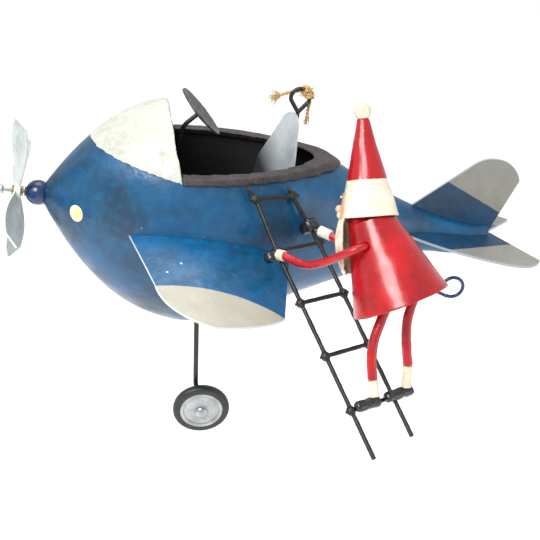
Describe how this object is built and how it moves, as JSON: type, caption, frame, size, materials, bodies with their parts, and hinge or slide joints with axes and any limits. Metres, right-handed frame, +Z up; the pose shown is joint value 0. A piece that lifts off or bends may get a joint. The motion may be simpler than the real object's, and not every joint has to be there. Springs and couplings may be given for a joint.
{
  "type": "whirligig",
  "caption": "Hanging tinplate toy aeroplane with a free-spinning propeller, a rolling wheel and a small hatted figure that climbs a net ladder to the open cockpit.",
  "frame": {"origin": "centre of the wire eye that the toy hangs by", "axes": "+Z up; -X towards the aeroplane's nose and propeller, +X towards its tail; -Y to the port side, where the ladder and the figure hang. The aeroplane's plane of symmetry is Y = 0."},
  "size_m": [0.175, 0.1446, 0.134],
  "materials": {
    "blue_paint": "hand-painted semi-gloss blue on tinplate, fine grain",
    "cowl_paint": "hammered cream-grey paint, semi-gloss",
    "coaming_brown": "dark brown-grey satin paint",
    "cockpit_black": "matt black paint",
    "seat_grey": "light grey satin paint",
    "dark_grey_paint": "dark grey satin paint",
    "black_wire": "semi-gloss black paint on wire",
    "twine": "tan natural twine",
    "navy_paint": "glossy dark blue paint",
    "steel_wire": "plain steel wire",
    "brass_tube": "dull brass tube",
    "propeller_grey": "light grey satin paint on sheet",
    "lamp_cream": "glossy cream-yellow paint",
    "tyre_black": "black rubber with a soft sheen",
    "hub_grey": "light grey semi-gloss paint",
    "ladder_black": "black moulded net with a soft sheen",
    "red_enamel": "thick glossy red enamel",
    "cream_enamel": "thick glossy cream enamel",
    "face_enamel": "satin skin-coloured enamel",
    "black_enamel": "glossy black enamel"
  },
  "bodies": {
    "airframe": {"fuselage_shell": "blue_paint", "windscreen_cowl": "cowl_paint", "cockpit_coaming": "coaming_brown", "cockpit_tub": "cockpit_black", "pilot_seat": "seat_grey", "steering_wheel": "dark_grey_paint", "steering_column": "black_wire", "hanging_wire": "black_wire", "twine_knot": "twine", "twine_tails": "twine", "nose_ball": "navy_paint", "nose_axle": "steel_wire", "spacer_washer": "dark_grey_paint", "axle_stop_knob": "steel_wire", "nose_lamps": "lamp_cream", "wing_port": "blue_paint", "wing_starboard": "blue_paint", "tail_fin": "blue_paint", "stabiliser_port": "blue_paint", "stabiliser_starboard": "blue_paint", "tail_ring": "navy_paint", "landing_strut": "black_wire", "wheel_cap": "steel_wire", "ladder_rails": "ladder_black", "ladder_rungs": "ladder_black", "figure_body": "red_enamel", "figure_base_plate": "red_enamel", "hat_band": "cream_enamel", "hat_cone": "red_enamel", "hat_pompom": "cream_enamel", "figure_face": "face_enamel", "figure_nose": "face_enamel", "figure_eyes": "black_wire", "figure_beard": "cream_enamel", "figure_arms": "red_enamel", "figure_cuffs": "cream_enamel", "figure_mittens": "black_enamel", "figure_legs": "red_enamel", "figure_socks": "cream_enamel", "figure_boots": "black_enamel"},
    "propeller": {"propeller_blades": "propeller_grey", "propeller_hub": "brass_tube"},
    "wheel": {"tyre": "tyre_black", "wheel_disc": "hub_grey"}
  },
  "joints": [
    {"name": "propeller_spin", "type": "hinge", "parent": "airframe", "child": "propeller", "pos_m": [-0.08375, 0, -0.04], "axis": [-1, 0, 0], "continuous": true},
    {"name": "wheel_spin", "type": "hinge", "parent": "airframe", "child": "wheel", "pos_m": [-0.0163, -0.0031, -0.1138], "axis": [0, -0.9903, -0.1392], "continuous": true}
  ]
}
